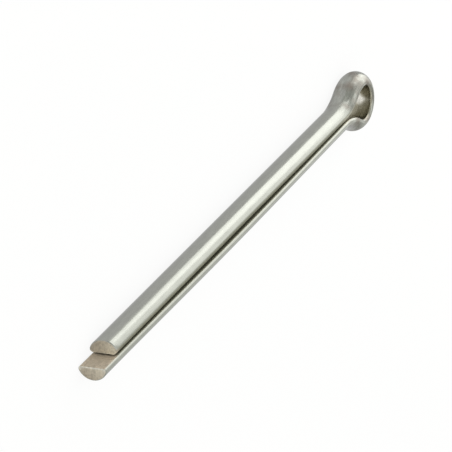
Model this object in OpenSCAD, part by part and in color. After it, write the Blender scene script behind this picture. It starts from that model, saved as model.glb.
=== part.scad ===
// Split cotter pin: one length of half-round wire folded back on itself. The fold opens into an eye,
// and the two prongs lie flat to flat as a round shank, one prong a little longer than the other.
// +X runs from the neck of the eye to the ends of the prongs, +Z is the axis of the eye, and the
// long prong is on the +Y side. The origin is on the shank's axis where the short prong leaves the neck.

/* [Shank] */
// Diameter of the shank, across both prongs
shank_d = 4.4; // [3.6:0.1:5.4]
// Length from the neck to the end of the short prong
shank_len = 80; // [30:1:125]
// Length by which the long prong passes the short one
tip_extra = 3.7; // [1:0.1:8]
// Gap between the flats of the two prongs
split_gap = 0.35; // [0.1:0.05:0.5]
// Width of the flat of the half-round wire, between its two rounded edges
flat_w = 3.1; // [2.6:0.1:3.4]
// Bevel round the back of each prong's end
tip_bevel = 0.15; // [0.05:0.05:0.4]

/* [Neck] */
// Radius of the hollow behind the neck on the long prong's side
neck_r_long = 7; // [4:0.1:12]
// Radius of the hollow behind the neck on the short prong's side
neck_r_short = 8.5; // [4:0.1:12]
// Angle at which the wire leaves the shank on the long prong's side
neck_lean_long = 35; // [25:1:45]
// Angle at which the wire leaves the shank on the short prong's side
neck_lean_short = 34; // [25:1:45]

/* [Eye] */
// Inner radius of the eye's shoulder on the long prong's side
shoulder_r_long = 3; // [2:0.1:5]
// Inner radius of the eye's shoulder on the short prong's side
shoulder_r_short = 4.4; // [2:0.1:6]
// Angle that the shoulder turns on the long prong's side
shoulder_turn_long = 41; // [20:1:60]
// Angle that the shoulder turns on the short prong's side
shoulder_turn_short = 42; // [20:1:60]

/* [Hidden] */
$fn = 96;
steel = "#a9aaa2";
// Angle by which each bend runs into the next one, so that they join
join = 0.00001;

// The wire is half of the shank's round, less its share of the gap
shank_r = shank_d / 2;
flat_y = split_gap / 2;
wire_t = shank_r - flat_y;
// Radius of the wire's two rounded edges, which touch both the flat and the round back. It is in whole
// thousandths, and the half width of the flat follows from it, so that the arcs touch exactly
edge_fit = (pow(shank_r, 2) - pow(flat_y, 2) - pow(flat_w / 2, 2)) / (shank_d + split_gap);
edge_r = round(edge_fit * 1000) / 1000;
flat_half = sqrt(pow(shank_r - edge_r, 2) - pow(flat_y + edge_r, 2));

// Radii of the flat along each bend
neck_flat_long = neck_r_long + wire_t;
neck_flat_short = neck_r_short + wire_t;
// Angles about each bend's centre at which one bend of the eye passes into the next
crown_from = 90 - neck_lean_long + shoulder_turn_long;
crown_to = 270 + neck_lean_short - shoulder_turn_short;
// The crown's inner radius is what brings the two flats back to the split gap
rise_long = neck_flat_long - (neck_flat_long + shoulder_r_long) * cos(neck_lean_long);
rise_short = neck_flat_short - (neck_flat_short + shoulder_r_short) * cos(neck_lean_short);
crown_r = (split_gap + rise_long + rise_short + shoulder_r_long * sin(crown_from)
    - shoulder_r_short * sin(crown_to)) / (sin(crown_from) - sin(crown_to));

// Centres of the bends in order from the short prong round the eye to the long prong
neck_short = [0, -flat_y - neck_flat_short];
shoulder_short = neck_short + (neck_flat_short + shoulder_r_short) * at(90 + neck_lean_short);
crown = shoulder_short + (shoulder_r_short - crown_r) * at(crown_to);
shoulder_long = crown + (crown_r - shoulder_r_long) * at(crown_from);
neck_long = shoulder_long + (shoulder_r_long + neck_flat_long) * at(90 - neck_lean_long);

// A unit vector at an angle in the plane of the eye
function at(angle) = [cos(angle), sin(angle)];

// Moves to a point in two steps, a rounded one and the small rest, so that bends meet exactly
module place(point) {
    near = [for (c = point) round(c * 1000) / 1000];
    translate(near) translate(point - near) children();
}

// Section of the half-round wire, with the flat on the Y axis and the round back towards +X
module wire_section() {
    edge = [edge_r, flat_half];
    past = edge + shank_d * [flat_y + edge_r, flat_half] / (shank_r - edge_r);
    intersection() {
        translate([-flat_y, 0]) rotate(180) circle(shank_r);
        polygon([
            [0, edge.y], edge, past, [2 * past.y, 0],
            [past.x, -past.y], [edge.x, -edge.y], [0, -edge.y]
        ]);
    }
    for (side = [-1, 1]) place([edge.x, side * edge.y]) circle(edge_r);
}

// A straight prong on the +Y side from one place along X to another, bevelled at its end
module prong(from, to) {
    over = shank_r;
    intersection() {
        place([from, flat_y, 0]) rotate([90, 0, 90]) linear_extrude(to - from) wire_section();
        translate([to, 0, 0]) rotate([0, 90, 0]) rotate_extrude()
            polygon([
                [0, 0], [shank_r - tip_bevel, 0], [shank_r + over, -tip_bevel - over],
                [shank_r + over, from - to - over], [0, from - to - over]
            ]);
    }
}

// A bend of the wire about a centre, with its flat at the given radius and facing the centre
module bend_round(centre, radius, from, to) {
    place(centre) rotate_extrude(angle = to - from + 2 * join, start = from - join)
        place([radius, 0]) wire_section();
}

// A bend of the wire about a centre, with its flat at the given radius and its back to the centre
module bend_away(centre, radius, from, to) {
    place(centre) rotate_extrude(angle = to - from + 2 * join, start = from - join)
        place([radius, 0]) mirror([1, 0]) wire_section();
}

// The whole wire, from the end of one prong round the eye to the end of the other
module cotter_pin() {
    color(steel) {
        mirror([0, 1, 0]) prong(0, shank_len);
        bend_away(neck_short, neck_flat_short, 90, 90 + neck_lean_short);
        bend_round(shoulder_short, shoulder_r_short, crown_to, 270 + neck_lean_short);
        bend_round(crown, crown_r, crown_from, crown_to);
        bend_round(shoulder_long, shoulder_r_long, 90 - neck_lean_long, crown_from);
        bend_away(neck_long, neck_flat_long, 270 - neck_lean_long, 270);
        prong(neck_long.x, shank_len + tip_extra);
    }
}

cotter_pin();
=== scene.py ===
"""Split cotter pin of half-round steel wire, lying on a pale floor under soft light.

The wire is one surface: the half-round section carried along the fold, from the end of the short
prong round the eye to the end of the long prong. Lengths are in metres, in the frame of the part.
"""

import math

import bpy
import numpy as np
from mathutils import Euler, Matrix, Vector


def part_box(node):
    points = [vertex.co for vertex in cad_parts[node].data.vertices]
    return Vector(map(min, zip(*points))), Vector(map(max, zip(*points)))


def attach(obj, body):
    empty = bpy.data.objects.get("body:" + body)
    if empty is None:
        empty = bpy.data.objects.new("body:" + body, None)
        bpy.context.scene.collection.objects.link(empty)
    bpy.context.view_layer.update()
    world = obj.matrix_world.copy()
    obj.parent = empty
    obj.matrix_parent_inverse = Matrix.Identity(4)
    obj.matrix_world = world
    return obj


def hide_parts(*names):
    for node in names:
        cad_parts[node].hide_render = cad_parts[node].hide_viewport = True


bl_info = {
    "name": "Split Cotter Pin",
    "version": (1, 0, 0),
    "blender": (4, 5, 0),
    "location": "View3D > Sidebar > Cotter Pin",
    "description": "Builds a split cotter pin of half-round steel wire, with its floor, lamps and camera",
    "category": "Add Mesh",
}

NODE = "cotter_pin"
MM = 0.001

# Fineness of the wire's surface: points across the flat, steps round each rounded edge and round the
# back, length of a step along a prong, steps to a radian of a bend, and the fewest steps in a bend
FLAT_POINTS = 18
EDGE_STEPS = 16
BACK_STEPS = 56
PRONG_STEP = 1 * MM
BEND_STEPS = 18
FEWEST_BEND_STEPS = 8
# Rings over the rounded edge of a sheared end, and the size of each ring on its face as a share of it
RIM_RINGS = 8
FACE_RINGS = (0.98, 0.94, 0.87, 0.78, 0.66, 0.53, 0.4, 0.27, 0.14)
# Height of the low dome on a sheared face
DOME_H = 0.03 * MM

# Each softbox: compass angle and height angle seen from the pin, distance, width, height and radiance.
# The first four stand behind the eye and draw the highlight that runs along the shank. The others show
# the form from above, from the ends of the prongs and from both sides
SOFTBOXES = {
    "back_softbox": (199.5, 14, 0.20, 0.208, 0.10, 0.98),
    "wide_softbox": (201.4, 22, 0.30, 0.202, 0.242, 0.86),
    "side_softbox": (234, 22, 0.30, 0.105, 0.16, 1.3),
    "far_softbox": (157, 14, 0.40, 0.17, 0.20, 0.42),
    "top_softbox": (270, 76, 0.40, 0.50, 0.23, 0.8),
    "front_softbox": (0, 20, 0.40, 0.35, 0.16, 0.5),
    "long_side_softbox": (37, 34, 0.40, 0.22, 0.10, 0.9),
    "short_side_softbox": (323, 34, 0.40, 0.22, 0.10, 0.9),
}

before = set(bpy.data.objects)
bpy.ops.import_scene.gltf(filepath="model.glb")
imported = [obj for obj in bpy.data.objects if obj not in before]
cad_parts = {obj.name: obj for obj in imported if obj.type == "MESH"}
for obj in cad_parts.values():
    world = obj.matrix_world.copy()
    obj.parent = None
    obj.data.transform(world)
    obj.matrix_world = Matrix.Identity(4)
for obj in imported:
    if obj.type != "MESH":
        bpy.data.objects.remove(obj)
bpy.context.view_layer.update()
pin_low, pin_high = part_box(NODE)


def linear(hex_code):
    """Linear red, green and blue of an sRGB hex colour."""
    parts = [int(hex_code[i : i + 2], 16) / 255 for i in (1, 3, 5)]
    return tuple(c / 12.92 if c <= 0.04045 else ((c + 0.055) / 1.055) ** 2.4 for c in parts)


def length(name, description, millimetres):
    """A property for a length, with its default given in millimetres."""
    return bpy.props.FloatProperty(
        name=name, description=description, default=millimetres * MM, unit="LENGTH", precision=5
    )


def angle(name, description, degrees):
    """A property for an angle, with its default given in degrees."""
    return bpy.props.FloatProperty(
        name=name, description=description, default=math.radians(degrees), subtype="ANGLE"
    )


def colour(name, description, hex_code):
    """A property for a colour, with its default given as sRGB hex."""
    return bpy.props.FloatVectorProperty(
        name=name, description=description, default=linear(hex_code), subtype="COLOR", min=0, max=1
    )


class CotterPinWire(bpy.types.PropertyGroup):
    """Sizes of the folded wire."""

    shank_d: length("Shank diameter", "Diameter across both prongs", 4.4)
    split_gap: length("Split gap", "Gap between the flats of the two prongs", 0.35)
    flat_w: length("Flat width", "Width of the wire's flat between its rounded edges", 3.1)
    worn_w: length("Worn flat", "Width that two edges as round as the worn one would leave", 2.7)
    short_end: length("Short prong", "Length from the neck to the end of the short prong", 80)
    long_end: length("Long prong", "Length from the neck to the end of the long prong", pin_high.x / MM)
    end_round: length("End round", "Rounding of the back at each sheared end", 0.15)
    sway: length("Sway", "Sway of the long prong, in at the neck and the end and out half-way", 0.11)
    pinch: length("Pinch", "Length by which the long prong lies closer beside the neck", 0.08)
    end_break: length("End edge", "Rounding of the flat's own edge at each sheared end", 0.06)
    neck_r_long: length("Long neck", "Radius of the hollow behind the neck, long side", 7)
    neck_r_short: length("Short neck", "Radius of the hollow behind the neck, short side", 8.5)
    shoulder_r_long: length("Long shoulder", "Inner radius of the eye's shoulder, long side", 3)
    shoulder_r_short: length("Short shoulder", "Inner radius of the eye's shoulder, short side", 4.4)
    lean_long: angle("Long lean", "Angle at which the wire leaves the shank, long side", 35)
    lean_short: angle("Short lean", "Angle at which the wire leaves the shank, short side", 34)
    turn_long: angle("Long turn", "Angle that the shoulder turns, long side", 41)
    turn_short: angle("Short turn", "Angle that the shoulder turns, short side", 42)


class CotterPinFinish(bpy.types.PropertyGroup):
    """Colours of the steel."""

    back: colour("Drawn back", "Steel of the round back, bright from the die", "#9b9c96")
    stain: colour("Bent skin", "Patches on the back of the eye, where bending crazed the skin", "#868079")
    flat: colour("Rolled flat", "Steel of the flat where it lies open, warmer than the back", "#c2b7a6")
    eye: colour("Inside the eye", "Steel of the flat inside the eye", "#a19d8b")
    # The colour of the flat in the split is painted shade between the prongs
    split_shade: colour("Greased flat", "Steel of the flat in the split, dark with drawing grease", "#888777")
    # The sheared colour fills the lighter upper part of each face, which is partly painted light from above
    sheared: colour("Sheared end", "Cut faces where the blade burnished them", "#dfd8c7")
    torn: colour("Torn end", "Cut faces where the grain tore", "#aea595")
    # The bare-metal colour also paints the highlight spot inside the crown
    burr_and_highlight: colour("Bare edge", "Bare metal along the cut edges and on the polished spot", "#e0ded4")


class CotterPinStage(bpy.types.PropertyGroup):
    """Floor, studio and camera."""

    paper: colour("Floor", "Colour of the pale floor", "#f4f4f2")
    studio: colour("Studio", "Colour of the pale studio all round", "#fdfff9")
    aim_x: length("Aim", "Place on the shank that the camera looks at", 38.816)
    aim_y: length("Aim across", "Offset of the aim from the shank's axis, across", -0.378)
    aim_z: length("Aim height", "Offset of the aim from the shank's axis, upwards", -0.392)
    distance: length("Distance", "Distance from the aim to the camera", 531.04)
    azimuth: angle("Azimuth", "Angle of the camera round the pin, from the -Y side", 63.344)
    elevation: angle("Elevation", "Angle of the camera above the floor", 23.425)
    roll: angle("Roll", "Turn of the camera about its own line of sight", 96.428)
    lens: bpy.props.FloatProperty(
        name="Lens", description="Focal length on a 36 mm sensor", default=298.15, unit="CAMERA"
    )


def fade(value, start, stop):
    """Share that runs evenly from 0 at the start to 1 at the stop, and no further."""
    return np.clip((value - start) / (stop - start), 0, 1)


def ease(share):
    """The share with a soft start and stop: three times its square less twice its cube."""
    return share**2 * (3 - 2 * share)


def half_round(wire, upper, lower):
    """Outline of the wire's section at each station, and the normals of that outline.

    Both hold a depth behind the flat and a place across it. The flat is a straight line from the lower
    to the upper half width. An arc about the upper edge's centre, the arc of the back about the shank's
    axis and an arc about the lower edge's centre follow. An arc is its centre plus its radius times the
    normal. The normals run on without a jump, and their depth is -1 on the flat and 1 on the back.
    """
    shank_r, flat_y = wire.shank_d / 2, wire.split_gap / 2
    half = np.stack([upper, lower], 1)
    edge_r = (shank_r**2 - flat_y**2 - half**2) / (wire.shank_d + wire.split_gap)
    meet = np.arctan2(half, edge_r + flat_y)
    pairs = [np.hsplit(part, 2) for part in (half, edge_r, meet)]
    (high, low), (high_r, low_r), (high_meet, low_meet) = pairs
    across = -low + (high + low) * np.linspace(0, 1, FLAT_POINTS)
    points = [np.stack([0 * across, across], 2)]
    normals = [np.stack([0 * across - 1, 0 * across], 2)]
    arcs = [
        (high_r, high, high_r, math.pi, high_meet, EDGE_STEPS),
        (-flat_y, 0, shank_r, high_meet, -low_meet, BACK_STEPS),
        (low_r, -low, low_r, -low_meet, -math.pi, EDGE_STEPS),
    ]
    for depth, place, radius, start, stop, steps in arcs:
        turn = start + (stop - start) * np.linspace(0, 1, steps + 1)[1:]
        out = np.stack([np.cos(turn), np.sin(turn)], 2)
        points.append(np.stack([depth + radius * out[..., 0], place + radius * out[..., 1]], 2))
        normals.append(out)
    return np.concatenate(points, 1)[:, :-1], np.concatenate(normals, 1)[:, :-1]


def prong(start, stop, flat_y, side):
    """Points of a prong's flat, evenly spaced on a straight line, and the direction of its back."""
    along = np.linspace(start, stop, math.ceil(abs(stop - start) / PRONG_STEP) + 1)
    points = np.stack([along, np.full_like(along, side * flat_y)], 1)
    return points, np.tile([0.0, side], (len(along), 1))


def fold(wire):
    """Line of the wire's flat as points in plan, the direction of the back at each, and the length run.

    The line is straight along the short prong, then five arcs about the centres of neck, shoulder,
    crown, shoulder and neck, then straight along the long prong. On an arc a point is the centre plus the
    flat's radius at an angle, and the back points away from the centre or towards it.

    The long prong sways across by an offset less one turn of a cosine and less a slope along it. The
    pinch, times the square of what is left of the prong's first fifth, is taken off that. Both begin
    softly in its neck.
    """
    flat_y = wire.split_gap / 2
    thick = wire.shank_d / 2 - flat_y
    neck_long, neck_short = wire.neck_r_long + thick, wire.neck_r_short + thick
    r_long, r_short = wire.shoulder_r_long, wire.shoulder_r_short
    crown_from = math.pi / 2 - wire.lean_long + wire.turn_long
    crown_to = 1.5 * math.pi + wire.lean_short - wire.turn_short
    rise = neck_long - (neck_long + r_long) * math.cos(wire.lean_long)
    rise += neck_short - (neck_short + r_short) * math.cos(wire.lean_short)
    span = wire.split_gap + rise + r_long * math.sin(crown_from) - r_short * math.sin(crown_to)
    crown_r = span / (math.sin(crown_from) - math.sin(crown_to))

    def at(turn):
        """Unit vector at an angle in plan."""
        return np.array([math.cos(turn), math.sin(turn)])

    leave_short, leave_long = math.pi / 2 + wire.lean_short, math.pi / 2 - wire.lean_long
    c_neck_short = np.array([0, -flat_y - neck_short])
    c_shoulder_short = c_neck_short + (neck_short + r_short) * at(leave_short)
    c_crown = c_shoulder_short + (r_short - crown_r) * at(crown_to)
    c_shoulder_long = c_crown + (crown_r - r_long) * at(crown_from)
    c_neck_long = c_shoulder_long + (r_long + neck_long) * at(leave_long)
    bends = [
        (c_neck_short, neck_short, math.pi / 2, leave_short, -1),
        (c_shoulder_short, r_short, leave_short + math.pi, crown_to, 1),
        (c_crown, crown_r, crown_to, crown_from, 1),
        (c_shoulder_long, r_long, crown_from, leave_long, 1),
        (c_neck_long, neck_long, leave_long + math.pi, 1.5 * math.pi, -1),
    ]
    short_points, short_backs = prong(wire.short_end - wire.end_round, 0, flat_y, -1)
    long_points, long_backs = prong(c_neck_long[0], wire.long_end - wire.end_round, flat_y, 1)
    points, backs = [short_points], [short_backs]
    for centre, radius, start, stop, side in bends:
        steps = max(FEWEST_BEND_STEPS, round(abs(stop - start) * BEND_STEPS))
        turn = np.linspace(start, stop, steps + 1)[1:]
        out = np.stack([np.cos(turn), np.sin(turn)], 1)
        points.append(centre + radius * out)
        backs.append(side * out)
    points = np.concatenate([*points, long_points[1:]])
    backs = np.concatenate([*backs, long_backs[1:]])

    share = np.clip(points[:, 0] / wire.long_end, 0, 1)
    offset, slope, pinched = 0.35, 0.55, 0.2
    sway = wire.sway * (offset - np.cos(2 * math.pi * share) - slope * share)
    sway -= wire.pinch * fade(share, pinched, 0) ** 2
    begin = ease(fade(points[:, 0], -wire.neck_r_long, 0))
    points[:, 1] += np.where(points[:, 1] > 0, sway, 0) * begin
    run = np.concatenate([[0], np.cumsum(np.linalg.norm(np.diff(points, axis=0), axis=1))])
    return points, backs, run


def sheared_end(wire, outline, normals, tip, flat_y, side):
    """Rings of one sheared end, from the side of the prong over its rounded edge to the middle of the face.

    Over the edge a ring is the outline moved inwards by h(1 - cos a) and forwards by h sin a, with a from
    0 to a quarter turn. The rounding h is large on the back and small on the flat. On the face a ring
    is the last outline drawn in to the middle, on a dome that is a few hundredths of a millimetre high.
    """
    back_share = fade(normals[:, 0], -0.5, 0.5)
    h = (wire.end_break + (wire.end_round - wire.end_break) * back_share)[:, None]
    turn = np.linspace(0, math.pi / 2, RIM_RINGS)[:, None, None]
    inset = outline - normals * h * (1 - np.cos(turn))
    ahead = np.broadcast_to(tip - h * (1 - np.sin(turn)), inset.shape[:2] + (1,))
    # The middle of the half-round is a little nearer to the flat than to the back
    middle = np.array([0.4 * wire.shank_d / 2, 0])
    share = np.array(FACE_RINGS)[:, None, None]
    face = middle + (inset[-1] - middle) * share
    face_ahead = np.broadcast_to(tip - DOME_H * share**2, face.shape[:2] + (1,))
    section = np.concatenate([inset, face])
    ahead = np.concatenate([ahead, face_ahead])
    rings = np.concatenate([ahead, flat_y + side * section[..., :1], section[..., 1:]], axis=2)
    pole = np.array([tip, flat_y + side * middle[0], 0])
    return rings, pole


def fill_wire_mesh(mesh, wire):
    """Fills the mesh with the wire: the section at every station of the fold, and both sheared ends.

    A point of the side is the flat's point plus the depth times the back's direction, with the place
    across as its height. The rings are joined by quads, and each pole by a fan of triangles.
    """
    points, backs, run = fold(wire)
    # The upper edge is rounder on the short prong and passes into the true section along its neck
    fresh = fade(run, wire.short_end, wire.short_end + wire.neck_r_short * wire.lean_short)
    upper = (wire.worn_w + (wire.flat_w - wire.worn_w) * ease(fresh)) / 2
    outline, normals = half_round(wire, upper, np.full_like(upper, wire.flat_w / 2))
    plan = points[:, None] + backs[:, None] * outline[..., :1]
    side = np.concatenate([plan, outline[..., 1:]], axis=2)
    first, first_pole = sheared_end(wire, outline[0], normals[0], wire.short_end, points[0, 1], -1)
    last, last_pole = sheared_end(wire, outline[-1], normals[-1], wire.long_end, points[-1, 1], 1)
    rings = np.concatenate([first[:0:-1], side, last[1:]])
    count, around = rings.shape[:2]
    ends = len(first) - 1

    index = np.arange(count * around).reshape(count, around)
    after = np.roll(index, -1, axis=1)
    quads = np.stack([index[:-1], index[1:], after[1:], after[:-1]], 2).reshape(-1, 4)
    pole = count * around
    first_fan = np.stack([np.full(around, pole), index[0], after[0]], 1)
    last_fan = np.stack([np.full(around, pole + 1), after[-1], index[-1]], 1)
    verts = np.concatenate([rings.reshape(-1, 3), first_pole[None], last_pole[None]])
    mesh.from_pydata(verts.tolist(), [], quads.tolist() + first_fan.tolist() + last_fan.tolist())

    def over_ends(rows):
        """The stations' rows, with the first and the last repeated over the sheared ends."""
        return np.concatenate([np.repeat(rows[:1], ends, 0), rows, np.repeat(rows[-1:], ends, 0)])

    facing = over_ends(normals[..., 0])
    flat_share = fade(facing, -0.7, -0.95)
    # The rounder edge of the short prong is as dull as the flat, and takes the flat's colour, with the
    # painted shade of the split
    worn = (1 - fresh)[:, None] * fade(normals[..., 0], 0.42, -0.03) * (outline[..., 1] > 0)
    # Millimetres along and round the wire, and the share of the flat, for the patterns that follow the wire
    along = over_ends(run) / MM
    step = np.linalg.norm(np.diff(outline[-1], axis=0, append=outline[-1, :1]), axis=1)
    grid = np.zeros((count, around, 3))
    grid[..., 0] = along[:, None]
    grid[..., 1] = np.concatenate([[0], np.cumsum(step)[:-1]]) / MM
    grid[..., 2] = np.maximum(flat_share, over_ends(worn))
    poles = [[along[0], 0, 0], [along[-1], 0, 0]]
    follow = np.concatenate([grid.reshape(-1, 3), poles]).astype(np.float32)
    mesh.attributes.new("wire", "FLOAT_VECTOR", "POINT").data.foreach_set("vector", follow.ravel())

    # The cut edge is bare: round the back of the short prong, and most along the flat of the long one
    edge_at = len(FACE_RINGS) - 1.5
    from_edge = np.abs(np.arange(count) - np.array([[edge_at], [count - 1 - edge_at]]))
    near_short, near_long = fade(from_edge, 3, 1)[..., None]
    bare = near_short * np.clip(facing, 0, 0.15) + near_long * np.clip(0.45 - 0.55 * facing, 0, 1)
    wear = np.concatenate([bare.ravel(), [0, 0]]).astype(np.float32)
    mesh.attributes.new("bare_edge", "FLOAT", "POINT").data.foreach_set("value", wear)

    # The cut takes in the face and the last step of its rounded edge
    band = np.repeat(np.arange(count - 1), around)
    cut_bands = len(FACE_RINGS) + 1
    cut = (band < cut_bands) | (band >= count - 1 - cut_bands)
    slots = np.concatenate([cut, np.ones(2 * around, bool)]).astype(np.int32)
    mesh.polygons.foreach_set("material_index", slots)
    mesh.polygons.foreach_set("use_smooth", np.ones(len(slots), bool))
    mesh.update()


def add_node(tree, kind, inputs, **settings):
    """Adds a node with its settings; each input is a value or the socket that it is linked from."""
    made = tree.nodes.new(kind)
    for name, value in settings.items():
        setattr(made, name, value)
    for socket, value in inputs.items():
        if isinstance(value, bpy.types.NodeSocket):
            tree.links.new(value, made.inputs[socket])
        else:
            made.inputs[socket].default_value = value
    return made


def new_material(name):
    """An empty material and its node tree."""
    material = bpy.data.materials.new(name)
    material.use_nodes = True
    material.node_tree.nodes.clear()
    return material, material.node_tree


def drawn_steel(finish, open_from):
    """Half-round steel wire, drawn through a die and rolled flat on one side.

    The die leaves a bright satin back with faint lines along the wire. The rolled flat is duller, warmer
    and finely pitted. In the split it is darker, which is painted shade between the prongs. Where the
    wire was bent round the eye its skin is streaked, with soft brown patches that are duller. A brighter,
    smoother spot inside the crown is a painted highlight. The open flat begins where the short prong ends.
    """
    material, tree = new_material("drawn_half_round_steel")
    wire = add_node(tree, "ShaderNodeAttribute", {}, attribute_name="wire").outputs["Vector"]
    place = add_node(tree, "ShaderNodeTexCoord", {}).outputs["Object"]
    flat_share = add_node(tree, "ShaderNodeSeparateXYZ", {"Vector": wire}).outputs["Z"]
    x = add_node(tree, "ShaderNodeSeparateXYZ", {"Vector": place}).outputs["X"]

    # Die lines are about 0.03 mm apart. They are drawn 0.22 mm apart and 30 mm long, so that they show
    line_scale = (1 / 30, 1 / 0.22, 0)
    lines_at = add_node(tree, "ShaderNodeVectorMath", {0: wire, 1: line_scale}, operation="MULTIPLY")
    lines = add_node(
        tree, "ShaderNodeTexNoise", {"Vector": lines_at.outputs[0], "Scale": 1, "Detail": 3}
    ).outputs["Fac"]
    # Bending marks are streaks of about 0.7 x 2.4 mm along the wire, strongest on the eye
    mark_scale = (1 / 2.4, 1 / 0.7, 0)
    marks_at = add_node(tree, "ShaderNodeVectorMath", {0: wire, 1: mark_scale}, operation="MULTIPLY")
    marks = add_node(
        tree,
        "ShaderNodeTexNoise",
        {"Vector": marks_at.outputs[0], "Scale": 1, "Detail": 4, "Roughness": 0.6},
    ).outputs["Fac"]
    bent = add_node(
        tree,
        "ShaderNodeMapRange",
        {"Value": x, "From Min": 1 * MM, "From Max": -4 * MM},
        interpolation_type="SMOOTHSTEP",
    ).outputs["Result"]
    eye = add_node(
        tree, "ShaderNodeMapRange", {"Value": bent, "To Min": 0.25, "To Max": 1}
    ).outputs["Result"]
    spread = add_node(tree, "ShaderNodeMath", {0: marks, 1: 0.5}, operation="SUBTRACT").outputs[0]
    blot = add_node(tree, "ShaderNodeMath", {0: spread, 1: eye}, operation="MULTIPLY").outputs[0]
    # Crazed skin on the eye is in soft brown patches of about 2 mm
    patches = add_node(
        tree,
        "ShaderNodeTexNoise",
        {"Vector": place, "W": 1.8, "Scale": 1 / (2 * MM), "Detail": 2},
        noise_dimensions="4D",
    ).outputs["Fac"]
    crazed = add_node(
        tree, "ShaderNodeMapRange", {"Value": patches, "From Min": 0.42, "From Max": 0.68, "To Max": bent}
    ).outputs["Result"]
    skin = add_node(
        tree, "ShaderNodeMix", {0: crazed, 6: (*finish.back, 1), 7: (*finish.stain, 1)}, data_type="RGBA"
    ).outputs[2]

    # The flat is darker in the split, which is painted shade between the prongs, and lighter in the eye and
    # past the short prong
    neck = add_node(
        tree,
        "ShaderNodeMapRange",
        {"Value": x, "From Min": -2.5 * MM, "From Max": 3 * MM},
        interpolation_type="SMOOTHSTEP",
    ).outputs["Result"]
    # Painted shade: past the neck the flat turns from the eye's colour to the darker colour of the split
    inside = add_node(
        tree, "ShaderNodeMix", {0: neck, 6: (*finish.eye, 1), 7: (*finish.split_shade, 1)}, data_type="RGBA"
    ).outputs[2]
    open_share = add_node(
        tree,
        "ShaderNodeMapRange",
        {"Value": x, "From Min": open_from - 1.2 * MM, "From Max": open_from + 0.3 * MM},
        interpolation_type="SMOOTHSTEP",
    ).outputs["Result"]
    flat = add_node(
        tree, "ShaderNodeMix", {0: open_share, 6: inside, 7: (*finish.flat, 1)}, data_type="RGBA"
    ).outputs[2]
    base = add_node(tree, "ShaderNodeMix", {0: flat_share, 6: skin, 7: flat}, data_type="RGBA").outputs[2]
    # A painted highlight: a spot of about a millimetre inside the crown is made brighter and smoother
    spot = (-11 * MM, 0.4 * MM, -0.15 * MM)
    off_highlight = add_node(tree, "ShaderNodeVectorMath", {0: place, 1: spot}, operation="DISTANCE")
    painted_highlight = add_node(
        tree,
        "ShaderNodeMapRange",
        {"Value": off_highlight.outputs["Value"], "From Min": 1.25 * MM, "From Max": 0.35 * MM},
        interpolation_type="SMOOTHSTEP",
    ).outputs["Result"]
    cut = add_node(tree, "ShaderNodeAttribute", {}, attribute_name="bare_edge").outputs["Fac"]
    # The bare share takes in the painted highlight spot as well as the cut edges
    bare = add_node(tree, "ShaderNodeMath", {0: cut, 1: painted_highlight}, operation="MAXIMUM").outputs[0]
    edged = add_node(
        tree, "ShaderNodeMix", {0: bare, 6: base, 7: (*finish.burr_and_highlight, 1)}, data_type="RGBA"
    ).outputs[2]
    # The flat is pitted by the rolls, in specks of about 0.35 mm
    pits = add_node(
        tree,
        "ShaderNodeTexNoise",
        {"Vector": place, "Scale": 1 / (0.35 * MM), "Detail": 3, "Roughness": 0.7},
    ).outputs["Fac"]
    specks = add_node(
        tree, "ShaderNodeMapRange", {"Value": pits, "To Min": 0.5, "To Max": 1.5}
    ).outputs["Result"]
    pitted = add_node(tree, "ShaderNodeMix", {0: flat_share, 2: 1, 3: specks}).outputs[0]
    tone = add_node(
        tree, "ShaderNodeMath", {0: lines, 1: 0.16, 2: 0.92}, operation="MULTIPLY_ADD"
    ).outputs[0]
    shade = add_node(
        tree, "ShaderNodeMath", {0: blot, 1: 1.2, 2: tone}, operation="MULTIPLY_ADD"
    ).outputs[0]
    mottle = add_node(tree, "ShaderNodeMath", {0: shade, 1: pitted}, operation="MULTIPLY").outputs[0]
    tinted = add_node(tree, "ShaderNodeVectorMath", {0: edged, 3: mottle}, operation="SCALE").outputs[0]

    # Roughness of the flat: in the eye, in the split and where it lies open
    in_eye, in_split, in_open = 0.28, 0.6, 0.8
    used = add_node(
        tree, "ShaderNodeMapRange", {"Value": neck, "To Min": in_eye, "To Max": in_split}
    ).outputs["Result"]
    dull = add_node(
        tree, "ShaderNodeMapRange", {"Value": open_share, "To Min": used, "To Max": in_open}
    ).outputs["Result"]
    # Roughness of the back: on the shank, on the eye, and what crazed skin and the marks add to it
    on_shank, on_eye, by_crazing, by_marks = 0.17, 0.2, 0.22, 0.35
    smooth = add_node(
        tree, "ShaderNodeMapRange", {"Value": eye, "To Min": on_shank, "To Max": on_eye}
    ).outputs["Result"]
    bright = add_node(
        tree, "ShaderNodeMath", {0: crazed, 1: by_crazing, 2: smooth}, operation="MULTIPLY_ADD"
    ).outputs[0]
    satin = add_node(
        tree, "ShaderNodeMapRange", {"Value": flat_share, "To Min": bright, "To Max": dull}
    ).outputs["Result"]
    # Roughness of the painted highlight spot
    polished = 0.1
    sheen = add_node(
        tree, "ShaderNodeMapRange", {"Value": painted_highlight, "To Min": satin, "To Max": polished}
    ).outputs["Result"]
    rough = add_node(
        tree, "ShaderNodeMath", {0: blot, 1: by_marks, 2: sheen}, operation="MULTIPLY_ADD"
    ).outputs[0]

    # Lines and marks are a few thousandths of a millimetre deep
    height = add_node(
        tree, "ShaderNodeMath", {0: blot, 1: 1.5, 2: lines}, operation="MULTIPLY_ADD"
    ).outputs[0]
    bump = add_node(
        tree, "ShaderNodeBump", {"Height": height, "Distance": 0.006 * MM, "Strength": 1}
    ).outputs[0]
    # A thin film of oil and oxide dims the steel at a glancing angle
    glancing = (0.7, 0.7, 0.7, 1)
    steel = add_node(
        tree,
        "ShaderNodeBsdfPrincipled",
        {
            "Base Color": tinted,
            "Metallic": 1,
            "Roughness": rough,
            "Specular Tint": glancing,
            "Normal": bump,
        },
    )
    add_node(tree, "ShaderNodeOutputMaterial", {"Surface": steel.outputs[0]})
    return material


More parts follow.
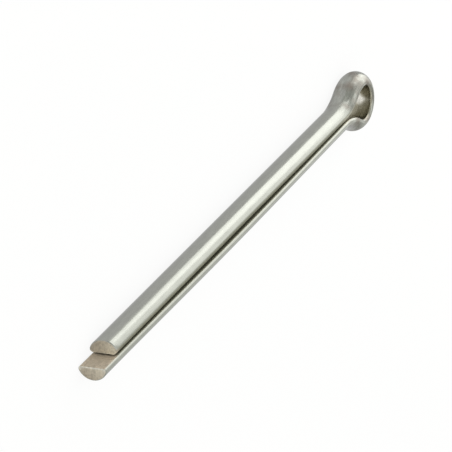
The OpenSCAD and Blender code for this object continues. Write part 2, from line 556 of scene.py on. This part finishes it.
def sheared_steel(finish):
    """Steel where the wire was sheared off.

    The torn grain is matt and warm, with fine marks from the blade, a burnished part and a bare edge.
    The upper part of each face, and the short prong's face, are lighter partly as painted light.
    """
    material, tree = new_material("sheared_steel_end")
    place = add_node(tree, "ShaderNodeTexCoord", {}).outputs["Object"]
    # Torn grain of about 0.4 mm, and fainter blade marks of 0.16 x 1.2 mm that run away from the split
    grain = add_node(
        tree,
        "ShaderNodeTexNoise",
        {"Vector": place, "Scale": 1 / (0.4 * MM), "Detail": 4, "Roughness": 0.7},
    ).outputs["Fac"]
    stroke_scale = (0, 1 / (1.2 * MM), 1 / (0.16 * MM))
    stroke_at = add_node(tree, "ShaderNodeVectorMath", {0: place, 1: stroke_scale}, operation="MULTIPLY")
    stroke = add_node(
        tree, "ShaderNodeTexNoise", {"Vector": stroke_at.outputs[0], "Scale": 1, "Detail": 2}
    ).outputs["Fac"]
    torn = add_node(
        tree, "ShaderNodeMath", {0: stroke, 1: 0.4, 2: grain}, operation="MULTIPLY_ADD"
    ).outputs[0]
    bare = add_node(tree, "ShaderNodeAttribute", {}, attribute_name="bare_edge").outputs["Fac"]
    # The upper part of the face, nearer the split, is lighter and the lower part and the back are darker:
    # partly burnished where the blade came from above and torn below, partly painted light from above.
    # The short prong's face is made lighter still, which is painted light as well
    spot = add_node(tree, "ShaderNodeSeparateXYZ", {"Vector": place}).outputs
    reach = add_node(
        tree,
        "ShaderNodeMapRange",
        {"Value": spot["Y"], "From Min": -0.2 * MM, "From Max": 0.2 * MM, "To Min": 1, "To Max": 0.5},
    ).outputs["Result"]
    from_split = add_node(tree, "ShaderNodeMath", {0: spot["Y"]}, operation="ABSOLUTE").outputs[0]
    high_near_split = add_node(
        tree, "ShaderNodeMath", {0: from_split, 1: -1.2, 2: spot["Z"]}, operation="MULTIPLY_ADD"
    ).outputs[0]
    burnish_and_painted_light = add_node(
        tree,
        "ShaderNodeMapRange",
        {"Value": high_near_split, "From Min": -2.8 * MM, "From Max": 0.4 * MM, "To Max": reach},
    ).outputs["Result"]
    face = add_node(
        tree, "ShaderNodeMix", {0: burnish_and_painted_light, 6: (*finish.torn, 1), 7: (*finish.sheared, 1)}, data_type="RGBA"
    ).outputs[2]
    base = add_node(
        tree, "ShaderNodeMix", {0: bare, 6: face, 7: (*finish.burr_and_highlight, 1)}, data_type="RGBA"
    ).outputs[2]
    tone = add_node(
        tree, "ShaderNodeMath", {0: torn, 1: 1.3, 2: 0.08}, operation="MULTIPLY_ADD"
    ).outputs[0]
    tinted = add_node(tree, "ShaderNodeVectorMath", {0: base, 3: tone}, operation="SCALE").outputs[0]
    rough = add_node(
        tree, "ShaderNodeMath", {0: grain, 1: 0.3, 2: 0.55}, operation="MULTIPLY_ADD"
    ).outputs[0]
    bump = add_node(
        tree, "ShaderNodeBump", {"Height": torn, "Distance": 0.03 * MM, "Strength": 1}
    ).outputs[0]
    steel = add_node(
        tree,
        "ShaderNodeBsdfPrincipled",
        {"Base Color": tinted, "Metallic": 1, "Roughness": rough, "Normal": bump},
    )
    add_node(tree, "ShaderNodeOutputMaterial", {"Surface": steel.outputs[0]})
    return material


def floor_paper(stage):
    """Matt white paper floor.

    The camera and the steel see most of it as plain white. The rest is its own matt surface, which keeps
    a faint shadow.
    """
    material, tree = new_material("matt_white_paper")
    seen = add_node(tree, "ShaderNodeLightPath", {})
    mirrored = add_node(
        tree,
        "ShaderNodeMath",
        {0: seen.outputs["Is Glossy Ray"], 1: seen.outputs["Is Transmission Ray"]},
        operation="MAXIMUM",
    ).outputs[0]
    shown = add_node(
        tree, "ShaderNodeMath", {0: seen.outputs["Is Camera Ray"], 1: mirrored}, operation="MAXIMUM"
    ).outputs[0]
    plain_white = 0.88
    share = add_node(tree, "ShaderNodeMath", {0: shown, 1: plain_white}, operation="MULTIPLY").outputs[0]
    matt = add_node(tree, "ShaderNodeBsdfDiffuse", {"Color": (*stage.paper, 1)})
    glow = add_node(tree, "ShaderNodeEmission", {"Color": (1, 1, 1, 1), "Strength": 1})
    mixed = add_node(tree, "ShaderNodeMixShader", {0: share, 1: matt.outputs[0], 2: glow.outputs[0]})
    add_node(tree, "ShaderNodeOutputMaterial", {"Surface": mixed.outputs[0]})
    return material


def add_object(name, data):
    """A new object in the scene's own collection."""
    made = bpy.data.objects.new(name, data)
    bpy.context.scene.collection.objects.link(made)
    return made


def lay_floor(stage):
    """Floor under the pin: a flat square of squares, with x and y as its two parameters."""
    reach, squares = 2, 8
    edge = np.linspace(-reach, reach, squares + 1)
    along, across = np.meshgrid(edge, edge, indexing="ij")
    verts = np.stack([along, across, np.full_like(along, pin_low.z)], 2).reshape(-1, 3)
    index = np.arange(along.size).reshape(along.shape)
    quads = np.stack([index[:-1, :-1], index[1:, :-1], index[1:, 1:], index[:-1, 1:]], 2)
    mesh = bpy.data.meshes.new("floor")
    mesh.from_pydata(verts.tolist(), [], quads.reshape(-1, 4).tolist())
    mesh.materials.append(floor_paper(stage))
    add_object("floor", mesh)


def light_studio(scene, stage):
    """A pale studio all round, brightest behind the eye, the side that the shank mirrors to the camera."""
    world = bpy.data.worlds.new("studio")
    world.use_nodes = True
    tree = world.node_tree
    tree.nodes.clear()
    facing = add_node(tree, "ShaderNodeTexCoord", {}).outputs["Generated"]
    behind = add_node(tree, "ShaderNodeSeparateXYZ", {"Vector": facing}).outputs["X"]
    level = add_node(
        tree,
        "ShaderNodeMapRange",
        {"Value": behind, "From Min": -0.5, "From Max": -0.84, "To Min": 0.76, "To Max": 1.16},
        interpolation_type="SMOOTHSTEP",
    ).outputs["Result"]
    sky = add_node(tree, "ShaderNodeBackground", {"Color": (*stage.studio, 1), "Strength": level})
    add_node(tree, "ShaderNodeOutputWorld", {"Surface": sky.outputs[0]})
    scene.world = world


def hang_softboxes():
    """Soft lamps round the pin, each facing it. A lamp's power is its radiance times pi and its area."""
    for name, (compass, rise, away, wide, high, radiance) in SOFTBOXES.items():
        lamp = bpy.data.lights.new(name, "AREA")
        lamp.shape = "RECTANGLE"
        lamp.size, lamp.size_y = wide, high
        lamp.energy = radiance * math.pi * wide * high
        holder = add_object(name, lamp)
        turn, up = math.radians(compass), math.radians(rise)
        out = Vector((math.cos(turn) * math.cos(up), math.sin(turn) * math.cos(up), math.sin(up)))
        holder.location = out * away
        holder.rotation_euler = out.to_track_quat("Z", "Y").to_euler()


def aim_camera(scene, stage):
    """Camera at its azimuth, elevation and distance from the aim, rolled about its line of sight."""
    view = bpy.data.cameras.new("camera")
    view.sensor_width = 36
    view.lens = stage.lens
    view.clip_start, view.clip_end = 0.01, 10
    camera = add_object("camera", view)
    face = Euler((math.pi / 2 - stage.elevation, 0, stage.azimuth)).to_matrix().to_4x4()
    aim = Matrix.Translation((stage.aim_x, stage.aim_y, stage.aim_z))
    back_off = Matrix.Translation((0, 0, stage.distance))
    camera.matrix_world = aim @ face @ back_off @ Matrix.Rotation(stage.roll, 4, "Z")
    scene.camera = camera


class MESH_OT_cotter_pin_wire(bpy.types.Operator):
    """Builds the folded wire with its eye, neck and two prongs"""

    bl_idname = "mesh.cotter_pin_wire"
    bl_label = "Cotter Pin Wire"

    def execute(self, context):
        wire, finish = context.scene.cotter_pin_wire, context.scene.cotter_pin_finish
        mesh = bpy.data.meshes.new("folded_wire")
        mesh.materials.append(drawn_steel(finish, wire.short_end))
        mesh.materials.append(sheared_steel(finish))
        fill_wire_mesh(mesh, wire)
        piece = add_object("folded_wire", mesh)
        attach(piece, "root")
        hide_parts(NODE)
        return {"FINISHED"}


class SCENE_OT_cotter_pin_stage(bpy.types.Operator):
    """Adds the floor, the lamps, the surrounding light and the camera"""

    bl_idname = "scene.cotter_pin_stage"
    bl_label = "Cotter Pin Stage"

    def execute(self, context):
        scene, stage = context.scene, context.scene.cotter_pin_stage
        lay_floor(stage)
        light_studio(scene, stage)
        hang_softboxes()
        aim_camera(scene, stage)
        scene.view_settings.view_transform = "Standard"
        return {"FINISHED"}


class VIEW3D_PT_cotter_pin(bpy.types.Panel):
    """Sizes, colours and stage of the cotter pin"""

    bl_label = "Cotter Pin"
    bl_space_type = "VIEW_3D"
    bl_region_type = "UI"
    bl_category = "Cotter Pin"

    def draw(self, context):
        groups = {
            "mesh.cotter_pin_wire": ("cotter_pin_wire", "cotter_pin_finish"),
            "scene.cotter_pin_stage": ("cotter_pin_stage",),
        }
        for operator, names in groups.items():
            box = self.layout.box()
            for name in names:
                group = getattr(context.scene, name)
                for field in group.__annotations__:
                    box.prop(group, field)
            box.operator(operator)


CLASSES = (
    CotterPinWire,
    CotterPinFinish,
    CotterPinStage,
    MESH_OT_cotter_pin_wire,
    SCENE_OT_cotter_pin_stage,
    VIEW3D_PT_cotter_pin,
)


def register():
    """Registers the classes and hangs the three groups of settings on the scene."""
    for cls in CLASSES:
        bpy.utils.register_class(cls)
    bpy.types.Scene.cotter_pin_wire = bpy.props.PointerProperty(type=CotterPinWire)
    bpy.types.Scene.cotter_pin_finish = bpy.props.PointerProperty(type=CotterPinFinish)
    bpy.types.Scene.cotter_pin_stage = bpy.props.PointerProperty(type=CotterPinStage)


def unregister():
    """Takes off what register() put on."""
    del bpy.types.Scene.cotter_pin_stage
    del bpy.types.Scene.cotter_pin_finish
    del bpy.types.Scene.cotter_pin_wire
    for cls in reversed(CLASSES):
        bpy.utils.unregister_class(cls)


def main():
    """Builds the pin and its stage."""
    register()
    bpy.ops.mesh.cotter_pin_wire()
    bpy.ops.scene.cotter_pin_stage()
    bpy.context.view_layer.update()


if __name__ == "__main__":
    main()
